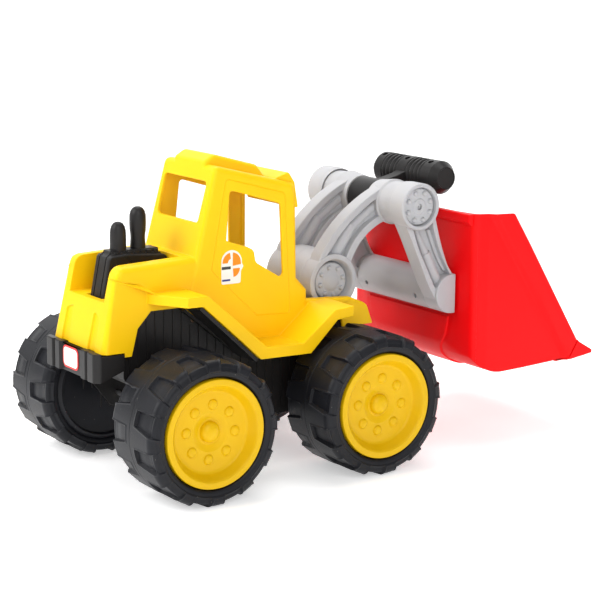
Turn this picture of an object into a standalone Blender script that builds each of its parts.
"""A toy front loader: yellow body on a black chassis, four wheels, a grey boom and a red bucket with a T-handle.

Sizes are in millimetres in the vehicle frame: X forward from the rear axle, Y to the left, Z up from the ground.
Each shape is turned into metres as it is made, and the whole vehicle is shifted so that its box is centred on X.
"""

import math

import bmesh
import bpy
from mathutils import Matrix, Vector

MM = 0.001

# Driving dimensions of the vehicle
TYRE_R = 60.0
WHEELBASE = 165.8
REAR_AXLE_X = -177.0
BODY_HALF = 45.5
BODY_BASE_Z = 115.0
BODY_DRAFT = 0.029
WALL = 3.0
GAP = 0.3

# Wheels, measured outward from the centre plane
TYRE_IN_Y = 57.5
TYRE_OUT_Y = 125.5
RIM_R = 44.7
RIM_Y = 124.2
DISC_Y = 115.0
DISC_R = 29.7
AXLE_R = 2.5
AXLE_END_Y = 113.0

# Boom and bucket linkage
BOOM_PIVOT = (173.2, 150.6)
BUCKET_PIVOT = (238.0, 216.0)
DRUM_R = 24.5
TUBE_R = 25.3
ARM_IN_Y = 19.5
ARM_OUT_Y = 34.0
DRUM_END_Y = 35.0
BOSS_R = 18.3
CUP_R = 20.5
CUP_IN_Y = 50.0
CUP_OUT_Y = 72.4
ROD_R = 4.0
BORE_R = ROD_R + GAP
ARM_FACE_Y = 67.0
BAR_CENTRE = (277.5, 135.2)
BAR_R = 17.5
BAR_BACK_X = 281.3
BAR_HALF = 69.0
BAR_SCREW_Y = (36.8, -36.8)
BAR_SCREW_Z = 130.0

# Handle
GRIP = (284.5, 235.0)
GRIP_R = 14.9
GRIP_HALF = 47.5
HUB_R = 17.3
HUB_HALF = 14.2
STEM_HALF = 7.0

# Bucket
BUCKET_SHIFT = (-6.0, 6.2, 1.7)
BUCKET_WALL = 3.0
CAP_FACE_Y = 71.0

ROUND = 20
SMALL = 10

COLOURS = {
    "yellow": ((0.95, 0.58, 0.01, 1), 0.42),
    "deep_yellow": ((0.92, 0.62, 0.01, 1), 0.35),
    "black": ((0.018, 0.018, 0.02, 1), 0.5),
    "tyre": ((0.03, 0.03, 0.034, 1), 0.55),
    "grey": ((0.56, 0.57, 0.58, 1), 0.4),
    "red": ((0.85, 0.01, 0.01, 1), 0.4),
    "steel": ((0.6, 0.6, 0.6, 1), 0.3),
    "white": ((0.9, 0.9, 0.88, 1), 0.4),
}


# ---------------------------------------------------------------- scene helpers

def clear_scene():
    for item in list(bpy.data.objects):
        bpy.data.objects.remove(item)


def new_collection(name):
    group = bpy.data.collections.new(name)
    bpy.context.scene.collection.children.link(group)
    return group


def make_materials():
    made = {}
    for name, (colour, roughness) in COLOURS.items():
        material = bpy.data.materials.new(name)
        material.use_nodes = True
        shader = material.node_tree.nodes["Principled BSDF"]
        shader.inputs["Base Color"].default_value = colour
        shader.inputs["Roughness"].default_value = roughness
        shader.inputs["Metallic"].default_value = 1.0 if name == "steel" else 0.0
        made[name] = material
    return made


clear_scene()
LOADER = new_collection("toy_front_loader")
MATERIALS = make_materials()


def link(name, data):
    item = bpy.data.objects.new(name, data)
    LOADER.objects.link(item)
    return item


def baked(item):
    """The object's evaluated shape as a plain welded mesh object with outward faces; the first object is removed."""
    bpy.context.view_layer.update()
    graph = bpy.context.evaluated_depsgraph_get()
    mesh = bpy.data.meshes.new_from_object(item.evaluated_get(graph))
    mesh.transform(item.matrix_world)
    name = item.name
    bpy.data.objects.remove(item)
    shape = bmesh.new()
    shape.from_mesh(mesh)
    bmesh.ops.remove_doubles(shape, verts=shape.verts, dist=0.00001)
    bmesh.ops.dissolve_degenerate(shape, edges=shape.edges, dist=0.000005)
    bmesh.ops.recalc_face_normals(shape, faces=shape.faces)
    shape.to_mesh(mesh)
    shape.free()
    mesh.materials.clear()
    return link(name, mesh)


def combined(target, tool, operation):
    """target with tool joined on, cut out or kept in common; tool is removed."""
    step = target.modifiers.new("combine", "BOOLEAN")
    step.operation = operation
    step.solver = "EXACT"
    step.object = tool
    result = baked(target)
    bpy.data.objects.remove(tool)
    return result


def joined(target, *tools):
    for tool in tools:
        target = combined(target, tool, "UNION")
    return target


def cut(target, *tools):
    for tool in tools:
        target = combined(target, tool, "DIFFERENCE")
    return target


# ---------------------------------------------------------------- shape helpers

def arc(centre, radius, start, end, count):
    """Points on a circle from start to end degrees, both ends included."""
    points = []
    for i in range(count + 1):
        angle = math.radians(start + (end - start) * i / count)
        points.append((centre[0] + radius * math.cos(angle), centre[1] + radius * math.sin(angle)))
    return points


def arc_through(first, middle, last, count):
    """Points on the arc that runs through three points."""
    (ax, ay), (bx, by), (cx, cy) = first, middle, last
    d = 2 * (ax * (by - cy) + bx * (cy - ay) + cx * (ay - by))
    a2, b2, c2 = ax * ax + ay * ay, bx * bx + by * by, cx * cx + cy * cy
    ux = (a2 * (by - cy) + b2 * (cy - ay) + c2 * (ay - by)) / d
    uy = (a2 * (cx - bx) + b2 * (ax - cx) + c2 * (bx - ax)) / d
    start = math.degrees(math.atan2(ay - uy, ax - ux))
    mid = math.degrees(math.atan2(by - uy, bx - ux))
    end = math.degrees(math.atan2(cy - uy, cx - ux))
    sweep = (end - start) % 360
    if (mid - start) % 360 > sweep:
        sweep -= 360
    return arc((ux, uy), math.hypot(ax - ux, ay - uy), start, start + sweep, count)


def offset_chain(chain, distance):
    """The open chain of points moved sideways by distance, to the right of its direction when positive."""
    moved = []
    for i, (x, z) in enumerate(chain):
        before = chain[max(i - 1, 0)]
        after = chain[min(i + 1, len(chain) - 1)]
        sides = []
        for a, b in ((before, (x, z)), ((x, z), after)):
            run = Vector((b[0] - a[0], b[1] - a[1]))
            if run.length > 1e-6:
                run.normalize()
                sides.append(Vector((run.y, -run.x)))
        normal = (sides[0] + sides[-1]).normalized()
        reach = distance / max(normal.dot(sides[0]), 0.5)
        moved.append((x + normal.x * reach, z + normal.y * reach))
    return moved


def flat_curve(name, outline, thickness):
    curve = bpy.data.curves.new(name, "CURVE")
    curve.dimensions = "2D"
    curve.fill_mode = "BOTH"
    curve.extrude = thickness / 2 * MM
    spline = curve.splines.new("POLY")
    spline.points.add(len(outline) - 1)
    for point, (u, v) in zip(spline.points, outline):
        point.co = (u * MM, v * MM, 0, 1)
    spline.use_cyclic_u = True
    return link(name, curve)


def side_plate(name, outline, y_from, y_to):
    """An outline in X and Z, made solid from y_from to y_to."""
    item = flat_curve(name, outline, abs(y_to - y_from))
    item.rotation_euler = (math.pi / 2, 0, 0)
    item.location.y = (y_from + y_to) / 2 * MM
    return baked(item)


def plan_plate(name, outline, z_from, z_to):
    """An outline in X and Y, made solid from z_from to z_to."""
    item = flat_curve(name, outline, abs(z_to - z_from))
    item.location.z = (z_from + z_to) / 2 * MM
    return baked(item)


def block(name, x, y, z):
    """A box between the pairs x, y and z."""
    bpy.ops.mesh.primitive_cube_add(size=1)
    item = bpy.context.object
    item.name = name
    for group in list(item.users_collection):
        group.objects.unlink(item)
    LOADER.objects.link(item)
    item.scale = [(p[1] - p[0]) * MM for p in (x, y, z)]
    item.location = [(p[1] + p[0]) / 2 * MM for p in (x, y, z)]
    return baked(item)


def turned(name, profile, centre, steps=ROUND, side=1):
    """A profile of (radius, distance from the centre plane) turned about the Y axis through centre (X, Z).

    side is 1 for the left of the vehicle and -1 for the right. A profile that neither starts nor ends on the axis
    is closed into a ring."""
    mesh = bpy.data.meshes.new(name)
    on_axis = profile[0][0] == 0 and profile[-1][0] == 0
    points = [(r * MM, 0, y * MM) for r, y in profile]
    links = [(i, i + 1) for i in range(len(points) - 1)]
    if not on_axis:
        links.append((len(points) - 1, 0))
    mesh.from_pydata(points, links, [])
    item = link(name, mesh)
    screw = item.modifiers.new("turn", "SCREW")
    screw.steps = screw.render_steps = steps
    screw.use_merge_vertices = True
    screw.merge_threshold = 0.00001
    item.rotation_euler = (-math.pi / 2 * side, 0, 0)
    item.location = (centre[0] * MM, 0, centre[1] * MM)
    return baked(item)


def rod(name, radius, y_from, y_to, centre, steps=SMALL):
    """A plain round bar along Y."""
    return turned(name, [(0, y_to), (radius, y_to), (radius, y_from), (0, y_from)], centre, steps)


def pin(name, radius, start, end, steps=SMALL):
    """A plain round bar between two points in space."""
    first, last = Vector(start) * MM, Vector(end) * MM
    run = last - first
    bpy.ops.mesh.primitive_cylinder_add(vertices=steps, radius=radius * MM, depth=run.length)
    item = bpy.context.object
    item.name = name
    for group in list(item.users_collection):
        group.objects.unlink(item)
    LOADER.objects.link(item)
    item.rotation_mode = "QUATERNION"
    item.rotation_quaternion = run.to_track_quat("Z", "Y")
    item.location = (first + last) / 2
    return baked(item)


def mirrored(item, name):
    """A copy of item on the other side of the centre plane."""
    mesh = item.data.copy()
    mesh.transform(Matrix.Scale(-1, 4, (0, 1, 0)))
    mesh.flip_normals()
    return link(name, mesh)


def reshape(item, rule):
    """Moves every point of item by rule, which takes and gives millimetres."""
    for vertex in item.data.vertices:
        vertex.co = Vector(rule(*(vertex.co / MM))) * MM
    return item


# ---------------------------------------------------------------- placing

def make_empty(name, x, z, y=0.0):
    empty = bpy.data.objects.new(name, None)
    empty.empty_display_size = 0.02
    empty.location = (x * MM, y * MM, z * MM)
    LOADER.objects.link(empty)
    return empty


FRAME = make_empty("vehicle_frame", REAR_AXLE_X, 0)
BOOM_AXIS = make_empty("boom_axis", *BOOM_PIVOT)
BUCKET_AXIS = make_empty("bucket_axis", *BUCKET_PIVOT)
for axis_empty in (BOOM_AXIS, BUCKET_AXIS):
    axis_empty.parent = FRAME


def finish_piece(item, colour, axis=FRAME):
    """Gives item its material and hangs it on the empty of the axis that it turns on."""
    if axis is not FRAME:
        item.data.transform(Matrix.Translation(-Vector(axis.location)))
    item.parent = axis
    item.data.materials.append(MATERIALS[colour])
    item.data.shade_smooth()
    item.data.set_sharp_from_angle(angle=math.radians(35))
    return item


# ---------------------------------------------------------------- body

HOOD_TOP = [(-57.1, 114.3), (-44.5, 174)] + arc((-35.3, 173.3), 9.4, 168, 92, 4)[1:] + [(22, 186.5)]
CAB_TOP = [(29.3, 186.6), (46.6, 252.5)] + arc((52.5, 252.6), 6.5, 165, 105, 3)[1:] + [(124, 241.2)]
NOSE_TOP = [(128.5, 236), (129.5, 160), (139.8, 149), (139.8, 140.8), (190, 138.2)]
NOSE_FRONT = arc((187, 119), 19.2, 70, 12, 4) + [(209.3, 112.3)]
BODY_LOWER = [
    (176, 112.3), (174.5, 128), (143, 128), (118, 103), (70, 103), (17, 146),
    (-12.6, 146), (-25, 133), (-31, 110.8), (-37.4, 110.8), (-37.4, 114.3),
]
WINDOW = [
    (59.3, 197.5), (62.6, 238), (64.9, 239.3), (112, 224.5), (114.5, 166), (111.3, 163.6),
    (87, 178), (85.6, 187.2), (78.7, 191.1),
]
STEP_TOP = [(-16, 161), (20.5, 161), (75, 113.5), (110, 112.5), (141.5, 138), (160, 139.5)]
STEP_UNDER = [(160, 130.5), (144, 129), (118, 103.2), (70, 103.2), (16, 152.5), (-16, 152.5)]
STEP_PLAN = [
    (-16, 40), (-16, 46), (-11.5, 55), (2, 77.5), (20, 78.5), (75, 80.5), (110, 82.5), (160, 84.5), (160, 40),
]
RAISED_ROOF = [(46.5, 254), (48, 263), (58, 267.6), (100.6, 255.8), (107, 248.4), (107, 243.9), (60, 255.5)]
VISOR = [(111.6, 243), (111.6, 245.5), (124.5, 249.8), (130.3, 240.7), (134, 219.1), (129.6, 219.1), (126.9, 236)]
BODY_SCREWS = (("rear", 10, 22, 147.5, 152.5), ("front", 134.5, 30, 132, 152.8))
SLOT_HALF = 30.0
SLOT_FLOOR_Z = 154.0
DECK_OPENING = (145.5, 200.5)
DECK_HALF = 36.3


def body_taper(x, y, z):
    share = 1 - BODY_DRAFT * (z - BODY_BASE_Z) / BODY_HALF
    return x, y * share, z


def body_block(name, outline, half):
    return reshape(side_plate(name, outline, -half, half), body_taper)


def fender(name):
    strip = side_plate(name, STEP_TOP + STEP_UNDER, 41.5, 88)
    plan = plan_plate("fender_plan", STEP_PLAN, 90, 170)
    return combined(strip, plan, "INTERSECT")


def body_shell():
    top = HOOD_TOP + CAB_TOP + NOSE_TOP + NOSE_FRONT
    shell = body_block("body_shell", top + BODY_LOWER, BODY_HALF)
    inner_top = offset_chain(top, WALL)
    inner = body_block("body_inside", inner_top + [(206, 60), (-54, 60)], BODY_HALF - WALL)
    pocket = block("pocket_walls", (-70, 25), (-SLOT_HALF - 2.5, SLOT_HALF + 2.5), (SLOT_FLOOR_Z - WALL, 200))
    shell = cut(shell, cut(inner, pocket))
    slot = side_plate(
        "slot", [(-80, SLOT_FLOOR_Z), (21, SLOT_FLOOR_Z), (25, 200), (-80, 200)], -SLOT_HALF, SLOT_HALF)
    cover_hole = block("cover_hole", (-42, 22), (-12.6, 12.6), (148, 158))
    rear_window = block("rear_window", (20, 70), (-33.7, 33.7), (212.7, 246.4))
    windshield = block("windshield", (118, 150), (-39, 39), (153, 232))
    side_window = side_plate("side_window", WINDOW, -60, 60)
    deck = block("deck", DECK_OPENING, (-DECK_HALF, DECK_HALF), (115, 175))
    shell = cut(shell, slot, cover_hole, rear_window, windshield, side_window, deck)
    right = fender("fender_left")
    left = mirrored(right, "fender_right")
    shell = joined(shell, right, left)
    shell = joined(shell, side_plate("raised_roof", RAISED_ROOF, -25, 25), side_plate("visor", VISOR, -37, 37))
    for _, x, half, floor, top in BODY_SCREWS:
        for side in (-1, 1):
            shell = joined(shell, pin("boss", 3.4, (x, side * half, floor + GAP), (x, side * half, top)))
            shell = cut(shell, pin("boss_bore", 1.5, (x, side * half, floor - 9), (x, side * half, floor + 5), 8))
    return finish_piece(shell, "yellow")


# ---------------------------------------------------------------- engine cover, chassis and bumper

COVER_HALF = 11.7
COVER_OUTLINE = [(-40, 148.4), (-32.2, 186.5), (-29.5, 188), (18, 185.6), (21, 182), (21, 148.4)]
COVER_FLANGE = ((-40, 22.5), (-15, 15), (147.8, 150.6))
STACKS = ((-19.0, 214.0), (-0.5, 225.0))
STACK_R = 6.7


def engine_cover():
    cover = side_plate("engine_cover", COVER_OUTLINE, -COVER_HALF, COVER_HALF)
    cover = joined(cover, block("cover_ridge", (-28, 15), (-7, 7), (180, 190)), block("flange", *COVER_FLANGE))
    for y in (-4.2, 4.2):
        groove = side_plate("groove", [(-45, 145), (-37.5, 145), (-30.6, 186), (-38, 186)], y - 0.6, y + 0.6)
        cover = cut(cover, groove)
    for x, top in STACKS:
        stack = stand_up(turned(
            "stack", [(0, top), (3.4, top - 1), (5.6, top - 4), (STACK_R, top - 10), (STACK_R, 170), (0, 170)],
            (0, 0), 14), x)
        cover = joined(cover, stack)
    return finish_piece(cover, "black")


def stand_up(item, x):
    """Turns a piece made along Y through the origin upright, and moves it to x."""
    item.data.transform(Matrix.Translation((x * MM, 0, 0)) @ Matrix.Rotation(math.pi / 2, 4, "X"))
    return item


CHASSIS_HALF = 40.3
CHASSIS_OUTLINE = [
    (-36.5, 92), (-36.5, 147.5), (26.5, 147.5), (26.5, 132), (141, 132), (141, 120), (198, 120), (198, 88),
    (186, 66), (180, 52), (160, 44), (108, 42), (20, 42), (-8, 50), (-22, 68),
]
CHASSIS_INSIDE = [
    (-33.5, 80), (-33.5, 144.5), (23.5, 144.5), (23.5, 129), (138, 129), (138, 117), (195, 117), (195, 88),
    (183, 68), (177, 54), (160, 30), (20, 30), (-10, 40), (-19, 60),
]
LUG_HALF = 8.0


def chassis():
    px, pz = BOOM_PIVOT
    tub = side_plate("chassis", CHASSIS_OUTLINE, -CHASSIS_HALF, CHASSIS_HALF)
    inside = side_plate("chassis_inside", CHASSIS_INSIDE, -CHASSIS_HALF + WALL, CHASSIS_HALF - WALL)
    tub = cut(tub, inside)
    lug_top = arc((px, pz), 8, 0, 180, 8)
    lug = side_plate("lug", lug_top + [(px - 8, 118), (px + 8, 118)], -LUG_HALF, LUG_HALF)
    tub = joined(tub, lug)
    tub = cut(tub, rod("lug_bore", BORE_R, -20, 20, BOOM_PIVOT, 16))
    for x in (0, WHEELBASE):
        housing = rod("axle_housing", 8, -50, 50, (x, TYRE_R), 20)
        tub = joined(tub, housing)
        tub = cut(tub, rod("axle_bore", AXLE_R + GAP, -60, 60, (x, TYRE_R), 16))
    for _, x, half, top, _ in BODY_SCREWS:
        for side in (-1, 1):
            tub = cut(tub, pin("screw_hole", 1.6, (x, side * half, top - 8), (x, side * half, top + 5), 8))
    return finish_piece(tub, "black")


BUMPER_SIDE = [(-65, 91), (-65, 116), (-58.6, 116), (-58, 113.8), (-38.2, 113.8), (-38.2, 91)]
BUMPER_INSIDE = [(-59, 80), (-59, 110), (-30, 110), (-30, 80)]
PLATE_HALF = 17.3
PLATE_X = -62.0


def rear_bumper():
    bumper = side_plate("rear_bumper", BUMPER_SIDE, -45.2, 45.2)
    bumper = cut(
        bumper,
        side_plate("bumper_inside", BUMPER_INSIDE, -42, 42),
        block("plate_recess", (-70, PLATE_X), (-PLATE_HALF, PLATE_HALF), (80, 120)),
        block("slit_left", (-70, -63), (31, 33.5), (80, 120)),
        block("slit_right", (-70, -63), (-33.5, -31), (80, 120)),
    )
    corner = [(-72, 50), (-72, 39.6), (-67, 39.6), (-60.4, 46.2), (-60.4, 50)]
    for side in (-1, 1):
        bumper = cut(bumper, plan_plate("corner", [(x, y * side) for x, y in corner], 80, 122))
    return finish_piece(bumper, "black")


def bumper_label():
    points = []
    for cy, cz, start in ((9, 6.5, 0), (-9, 6.5, 90), (-9, -6.5, 180), (9, -6.5, 270)):
        points += arc((cy, cz), 5, start, start + 90, 4)
    item = flat_curve("bumper_label", points, 0.6)
    item.rotation_euler = (math.pi / 2, 0, math.pi / 2)
    item.location = ((PLATE_X - GAP - 0.3) * MM, 0, 104 * MM)
    return finish_piece(baked(item), "white")


def door_sticker(side, name):
    outline = [(56, 161), (77, 161), (78.5, 163)] + arc((67.5, 180), 10.5, -10, 190, 8) + [(55, 163)]
    sticker = side_plate(name, outline, 0, 0.5)
    taper = BODY_DRAFT

    def lean(x, y, z):
        wall = BODY_HALF - taper * (z - BODY_BASE_Z)
        return x, side * (wall + GAP + y), z

    reshape(sticker, lean)
    if side < 0:
        sticker.data.flip_normals()
    return finish_piece(sticker, "white")


def body_screws():
    for place, x, half, top, _ in BODY_SCREWS:
        under = top - WALL - GAP
        for hand, side in (("left", 1), ("right", -1)):
            name = f"body_screw_{place}_{hand}"
            shank = pin(name, 1.1, (x, side * half, under - 1), (x, side * half, under + 7.5), 8)
            head = pin("head", 2.6, (x, side * half, under - 2.2), (x, side * half, under), 10)
            finish_piece(joined(shank, head), "steel")


# ---------------------------------------------------------------- wheels

TYRE_PROFILE = [
    (60, 66), (57.5, 60), (53, 57.5), (41.5, 57.5), (41.5, 61), (2.8, 61), (2.8, 65), (55.5, 65),
    (55.5, 113), (51, 119), (45, 119), (45, 124.6), (50, 125.5), (57.5, 123), (60, 117),
]
HUB_PROFILE = [
    (RIM_R, RIM_Y), (RIM_R - 5.3, RIM_Y), (DISC_R, DISC_Y), (15.7, DISC_Y), (15.2, DISC_Y - 1.2),
    (12, DISC_Y - 1.2), (11.5, DISC_Y + 1.6), (9.2, DISC_Y + 1.6), (9.2, 109), (2.8, 109), (2.8, 66), (6, 66),
    (6, 105), (10.5, 108), (10.5, 112), (DISC_R + 2, 112), (38.5, 117), (RIM_R, 117),
]
CAP_PROFILE = [(0, 119), (3.5, 118.7), (6.5, 118), (8.9, 116.8), (8.9, 113.5), (0, 113.5)]
STUD_COUNT = 8
WHEEL_STUD_R, WHEEL_STUD_PCD = 3.7, 22.5


def stud_ring(target, centre, stud_r, pitch_r, y_from, y_to, side, first_angle):
    for i in range(STUD_COUNT):
        angle = math.radians(first_angle + 360 / STUD_COUNT * i)
        at = (centre[0] + pitch_r * math.cos(angle), centre[1] + pitch_r * math.sin(angle))
        profile = [(0, y_to), (stud_r, y_to - 0.3), (stud_r, y_from), (0, y_from)]
        target = joined(target, turned("stud", profile, at, 8, side))
    return target


def wheel(place, hand, x, side):
    centre = (x, TYRE_R)
    axis = make_empty(f"wheel_axis_{place}_{hand}", x, TYRE_R)
    axis.parent = FRAME
    tyre = turned(f"tyre_{place}_{hand}", TYRE_PROFILE, centre, 28, side)
    finish_piece(tyre, "tyre", axis)
    hub = turned(f"hub_{place}_{hand}", HUB_PROFILE, centre, ROUND, side)
    hub = stud_ring(hub, centre, WHEEL_STUD_R, WHEEL_STUD_PCD, DISC_Y - 1, DISC_Y + 1.8, side, 0)
    hub.name = f"hub_{place}_{hand}"
    finish_piece(hub, "deep_yellow", axis)
    cap = turned(f"hub_cap_{place}_{hand}", CAP_PROFILE, centre, 16, side)
    finish_piece(cap, "deep_yellow", axis)
    nut_profile = [(AXLE_R + GAP, 109.5), (5, 109.5), (6, 110.5), (AXLE_R + GAP, 110.5)]
    finish_piece(turned(f"push_nut_{place}_{hand}", nut_profile, centre, SMALL, side), "steel")


def running_gear():
    for place, x in (("rear", 0.0), ("front", WHEELBASE)):
        finish_piece(rod(f"axle_{place}", AXLE_R, -AXLE_END_Y, AXLE_END_Y, (x, TYRE_R)), "steel")
        for hand, side in (("left", 1), ("right", -1)):
            wheel(place, hand, x, side)


# ---------------------------------------------------------------- boom

ARM_TOP = arc_through((160, 174), (194, 211.7), (238, 234.5), 10)
ARM_UNDER = arc_through((231, 198.6), (209, 189), (193, 167.5), 7)
CAP_DISC_Y = 31.0


def boom_arm(hand, side):
    upper = arc(BUCKET_PIVOT, 17.2, 70, -100, 12)
    lower = arc(BOOM_PIVOT, 22.9, 10, -225, 20)
    outline = ARM_TOP + upper + ARM_UNDER + lower
    arm = side_plate(f"boom_arm_{hand}", outline, side * ARM_IN_Y, side * ARM_OUT_Y)
    top_in = offset_chain(ARM_TOP, 4)[2:-2]
    under_in = offset_chain(ARM_UNDER, 4)[1:-1]
    channel = top_in + under_in
    arm = cut(
        arm,
        side_plate("outer_channel", channel, side * 26, side * 40),
        side_plate("inner_channel", channel, side * 10, side * 22.5),
    )
    ram = pin("ram_barrel", 6.2, (186, side * 25.5, 173), (208, side * 25.5, 199.5), 12)
    ram_rod = pin("ram_rod", 4.2, (206, side * 25.5, 197), (226, side * 25.5, 214), 12)
    arm = joined(arm, ram, ram_rod)
    drum = turned("drum", [
        (BORE_R, DRUM_END_Y - 10), (19.9, DRUM_END_Y - 10), (19.8, DRUM_END_Y), (DRUM_R - 0.6, DRUM_END_Y),
        (DRUM_R, DRUM_END_Y - 0.6), (DRUM_R, ARM_IN_Y + 0.7), (TUBE_R, ARM_IN_Y - 0.3), (TUBE_R, 0.15), (22, 0.15),
        (22, ARM_IN_Y + 1.7), (BORE_R, ARM_IN_Y + 1.7),
    ][::-1], BOOM_PIVOT, ROUND, side)
    boss = turned("boss", [
        (BORE_R, 54), (BOSS_R - 0.8, 54), (BOSS_R, 52), (BOSS_R, 14.8), (BORE_R, 14.8),
    ], BUCKET_PIVOT, ROUND, side)
    arm = joined(cut(arm, rod("clear_drum", DRUM_R - 3, side * 5, side * 50, BOOM_PIVOT, ROUND)), drum)
    arm = joined(cut(arm, rod("clear_boss", 12, side * 5, side * 50, BUCKET_PIVOT, ROUND)), boss)
    slot = arc(BOOM_PIVOT, 14, -162, -35, 8) + arc(BOOM_PIVOT, 40, -35, -162, 10)
    arm = cut(arm, side_plate("lug_slot", slot, side * -1, side * (LUG_HALF + 0.8)))
    arm.name = f"boom_arm_{hand}"
    return finish_piece(arm, "grey", BOOM_AXIS)


def boom_cap(hand, side):
    profile = [
        (0, CAP_DISC_Y + 1), (7, CAP_DISC_Y + 0.8), (8.5, CAP_DISC_Y), (16.3, CAP_DISC_Y), (19.4, 34.6),
        (19.5, 34.6), (19.5, 25.5), (0, 25.5),
    ]
    name = f"boom_cap_{hand}"
    cap = turned(name, profile, BOOM_PIVOT, ROUND, side)
    cap = stud_ring(cap, BOOM_PIVOT, 1.9, 12.3, CAP_DISC_Y - 1, CAP_DISC_Y + 1.3, side, 0)
    cap.name = name
    return finish_piece(cap, "grey", BOOM_AXIS)


# ---------------------------------------------------------------- dipper arms, bar and bucket

DIPPER_BACK = [(223, 205), (228.5, 195), (235, 180.5), (245, 158), (257, 135.5), (264.5, 130.5)]
DIPPER_FRONT = [(281, 150.8), (272.4, 163.5), (265.3, 182), (259.5, 202), (257, 209)]
DIPPER_CHANNEL = [
    (235.5, 196), (240.5, 180.5), (249.7, 159.5), (262, 137.5), (270, 141), (276.5, 151), (267.8, 164.3),
    (260.9, 181), (255, 200),
]


def dipper_arm(hand, side):
    outline = DIPPER_BACK + [(281, 122)] + DIPPER_FRONT
    arm = side_plate(f"dipper_arm_{hand}", outline, side * CUP_IN_Y, side * ARM_FACE_Y)
    arm = cut(
        arm,
        side_plate("outer_channel", DIPPER_CHANNEL, side * 59.5, side * 80),
        side_plate("inner_channel", DIPPER_CHANNEL, side * 40, side * 55),
    )
    arm = joined(
        arm,
        pin("ram_rod", 3.2, (245, side * 59, 198), (255, side * 59, 170), 10),
        pin("ram_barrel", 4.6, (254, side * 59, 172), (267, side * 59, 144), 10),
    )
    arm = cut(
        arm,
        side_plate("bar_clearance", bar_outline(GAP), -80, 80),
        rod("clear", 18, side * 40, side * 80, BUCKET_PIVOT, 16),
    )
    cup = turned("cup", [
        (BORE_R, 66), (16.9, 66), (17.1, CUP_OUT_Y), (CUP_R - 0.8, CUP_OUT_Y), (CUP_R, CUP_OUT_Y - 0.8), (CUP_R, 54),
        (20, CUP_IN_Y), (19.2, CUP_IN_Y), (19.2, 56), (BORE_R, 56),
    ], BUCKET_PIVOT, ROUND, side)
    arm = cut(arm, rod("boss_clearance", 19.5, side * 40, side * 56.7, BUCKET_PIVOT, ROUND))
    arm = joined(arm, cup)
    arm.name = f"dipper_arm_{hand}"
    return finish_piece(arm, "grey", BUCKET_AXIS)


def bar_outline(grow):
    radius = BAR_R + grow
    return arc(BAR_CENTRE, radius, 90, 270, 16) + [
        (BAR_BACK_X + grow, BAR_CENTRE[1] - radius), (BAR_BACK_X + grow, BAR_CENTRE[1] + radius),
    ]


def bucket_bar():
    bar = side_plate("bucket_bar", bar_outline(0), -BAR_HALF, BAR_HALF)
    pocket = arc(BAR_CENTRE, BAR_R - 3, 90, 270, 10) + [(294, 121.2), (294, 149.2)]
    bar = cut(bar, side_plate("bar_pocket", pocket, -30, 30))
    for y in BAR_SCREW_Y:
        bar = cut(bar, pin("screw_hole", 2.6, (254, y, BAR_SCREW_Z), (270, y, BAR_SCREW_Z), 10))
        bar = cut(bar, pin("screw_shaft", 1.5, (264, y, BAR_SCREW_Z), (294, y, BAR_SCREW_Z), 8))
    return finish_piece(bar, "grey", BUCKET_AXIS)


def bucket():
    """The bucket is laid out on round figures and then moved to its place, with its sides moved apart."""
    back, top, half, rim_half = 288, 207, 89, 95
    mouth_top, mouth_low, heel = (330, 201), (404, 84), (313, 94)
    back_top = [(back, top), (322, top - 0.5), mouth_top]
    trough = back_top + [mouth_low, (398, 69)] + arc(heel, 25, -90, -180, 8)
    side = back_top + [mouth_low, (398, 66), (322, 61.8)] + arc((316, 90), 28, -90, -180, 7)
    rim = [mouth_top, (316, 190), (390, 73), (396, 66), (400, 70), mouth_low]
    lip = [(396, 66), (424, 69), (425, 72.5), mouth_low, (396, 74)]
    inside = [(291, 215), (340, 215), (416, 92), (399, 72)] + arc(heel, 22, -90, -180, 8)
    mouth = [(338, 205), (325, 192), (398, 78), (412, 88)]
    shell = side_plate("bucket", trough, -half + 7, half - 7)
    for sign in (-1, 1):
        shell = joined(shell, side_plate("cheek", side, sign * (half - 10), sign * half))
    for sign in (-1, 1):
        shell = joined(shell, side_plate("rim", rim, sign * (half - 9), sign * rim_half))
    shell = joined(shell, side_plate("lip", lip, -rim_half, rim_half))
    shell = cut(
        shell,
        side_plate("inside", inside, -half + BUCKET_WALL, half - BUCKET_WALL),
        side_plate("mouth", mouth, -rim_half + BUCKET_WALL, rim_half - BUCKET_WALL),
    )
    forward, outward, upward = BUCKET_SHIFT
    shell = reshape(shell, lambda x, y, z: (x + forward, y + math.copysign(outward, y), z + upward))
    for y in BAR_SCREW_Y:
        shell = cut(shell, pin("screw_hole", 1.5, (274, y, BAR_SCREW_Z), (294, y, BAR_SCREW_Z), 8))
    return finish_piece(shell, "red", BUCKET_AXIS)


def bar_screws():
    z = BAR_SCREW_Z
    for i, y in enumerate(BAR_SCREW_Y, start=1):
        shank = pin(f"bar_screw_{i}", 1.2, (267, y, z), (286, y, z), 8)
        head = pin("head", 2.3, (265.5, y, z), (267.5, y, z), 10)
        drive = block("drive", (259, 266.2), (y - 1.4, y + 1.4), (z - 0.4, z + 0.4))
        finish_piece(cut(joined(shank, head), drive), "steel", BUCKET_AXIS)


def bucket_cap(hand, side):
    name = f"dipper_cap_{hand}"
    face = CAP_FACE_Y
    profile = [(1.8, face + 0.6), (7, face + 0.6), (8.5, face), (16.5, face), (16.5, 66.4), (1.8, 66.4)]
    cap = turned(name, profile, BUCKET_PIVOT, ROUND, side)
    cap = stud_ring(cap, BUCKET_PIVOT, 2.1, 12.6, face - 1, face + 1.4, side, 17)
    cap = cut(cap, rod("head_recess", 2.9, side * (face - 1.6), side * 80, BUCKET_PIVOT, 12))
    cap.name = name
    return finish_piece(cap, "grey", BUCKET_AXIS)


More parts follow.
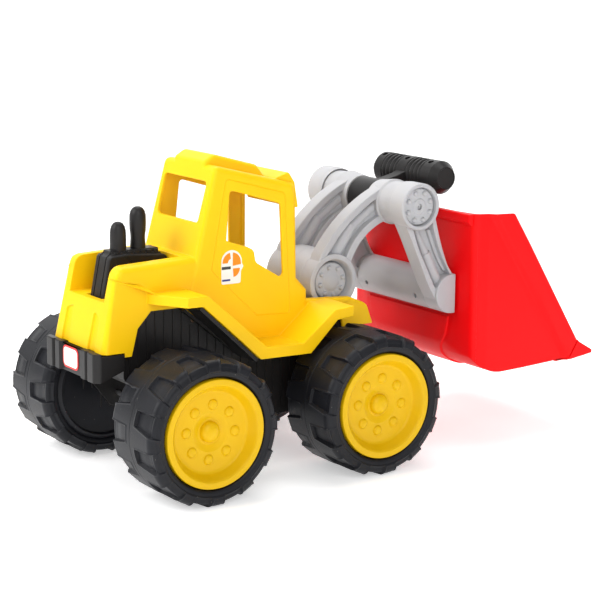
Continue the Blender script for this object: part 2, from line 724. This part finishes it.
def cap_screw(hand, side):
    face = CAP_FACE_Y
    screw = turned(f"dipper_screw_{hand}", [
        (0, face - 0.4), (2.5, face - 0.4), (2.5, face - 1.3), (1.4, face - 1.6), (1.4, 58), (0, 58),
    ], BUCKET_PIVOT, 12, side)
    return finish_piece(screw, "steel", BUCKET_AXIS)


# ---------------------------------------------------------------- handle

STEM_LEAN = math.atan2(GRIP[1] - BUCKET_PIVOT[1], GRIP[0] - BUCKET_PIVOT[0])
STEM_LENGTH = math.hypot(GRIP[1] - BUCKET_PIVOT[1], GRIP[0] - BUCKET_PIVOT[0])
GRIP_SCREW_Y = (-32.5, 1.5, 35.5)
HUB_SCREW_Y = (0.0,)


def along_stem(distance, height):
    """The point at a distance along the stem from the hub's axis, and a height above its middle plane."""
    c, s = math.cos(STEM_LEAN), math.sin(STEM_LEAN)
    return (
        BUCKET_PIVOT[0] + distance * c - height * s,
        BUCKET_PIVOT[1] + distance * s + height * c,
    )


def handle_solid(name):
    grip = turned(name, [
        (0, GRIP_HALF), (10, GRIP_HALF), (GRIP_R, GRIP_HALF - 7), (GRIP_R, -GRIP_HALF + 7), (10, -GRIP_HALF),
        (0, -GRIP_HALF),
    ], GRIP, ROUND)
    hub = rod("hub", HUB_R, -HUB_HALF, HUB_HALF, BUCKET_PIVOT, ROUND)
    stem_outline = [along_stem(d, h) for d, h in ((5, 12), (STEM_LENGTH, 8), (STEM_LENGTH, -8), (5, -12))]
    stem = side_plate("stem", stem_outline, -STEM_HALF, STEM_HALF)
    hollow = rod("hollow", GRIP_R - 2.8, -GRIP_HALF + 7.5, GRIP_HALF - 7.5, GRIP, 20)
    solid = joined(grip, stem, hub)
    solid = cut(solid, hollow, rod("bore", BORE_R, -30, 30, BUCKET_PIVOT, 16))
    for distance, places in ((STEM_LENGTH, GRIP_SCREW_Y), (9.5, HUB_SCREW_Y)):
        for y in places:
            high, low, deep = (along_stem(distance, h) for h in (20, 5.5, -8))
            solid = joined(solid, screw_post(distance, y)) if distance > 20 else solid
            solid = cut(solid, pin("head_hole", 2.7, (high[0], y, high[1]), (low[0], y, low[1]), 12))
            solid = cut(solid, pin("shank_hole", 1.6, (high[0], y, high[1]), (deep[0], y, deep[1]), 8))
    return solid


def screw_post(distance, y):
    top, foot = along_stem(distance, 13), along_stem(distance, -13)
    return pin("screw_post", 4.6, (top[0], y, top[1]), (foot[0], y, foot[1]), 12)


def handle():
    for name, sign in (("handle_upper", 1), ("handle_lower", -1)):
        half = handle_solid(name)
        away = [along_stem(d, h * -sign) for d, h in ((-60, -GAP / 2), (120, -GAP / 2), (120, 60), (-60, 60))]
        half = cut(half, side_plate("split", away, -80, 80))
        half.name = name
        finish_piece(half, "black", BUCKET_AXIS)
    number = 0
    for distance, places in ((STEM_LENGTH, GRIP_SCREW_Y), (9.5, HUB_SCREW_Y)):
        for y in places:
            number += 1
            top, under, tip = (along_stem(distance, h) for h in (7.7, 5.8, -7))
            shank = pin(f"handle_screw_{number}", 1.25, (under[0], y, under[1]), (tip[0], y, tip[1]), 8)
            head = pin("head", 2.4, (top[0], y, top[1]), (under[0], y, under[1]), 10)
            finish_piece(joined(shank, head), "steel", BUCKET_AXIS)


# ---------------------------------------------------------------- the whole loader

def loader():
    body_shell()
    engine_cover()
    chassis()
    rear_bumper()
    bumper_label()
    door_sticker(1, "door_sticker_left")
    door_sticker(-1, "door_sticker_right")
    body_screws()
    running_gear()
    finish_piece(rod("boom_pivot_rod", ROD_R, -24.5, 24.5, BOOM_PIVOT, 16), "steel")
    rod_solid = rod("bucket_pivot_rod", ROD_R, -64, 64, BUCKET_PIVOT, 16)
    for side in (-1, 1):
        rod_solid = cut(rod_solid, rod("end_bore", 1.7, side * 57, side * 70, BUCKET_PIVOT, 8))
    finish_piece(rod_solid, "steel", BUCKET_AXIS)
    for hand, side in (("left", 1), ("right", -1)):
        boom_arm(hand, side)
        boom_cap(hand, side)
        dipper_arm(hand, side)
        bucket_cap(hand, side)
        cap_screw(hand, side)
    bucket_bar()
    bucket()
    bar_screws()
    handle()


loader()
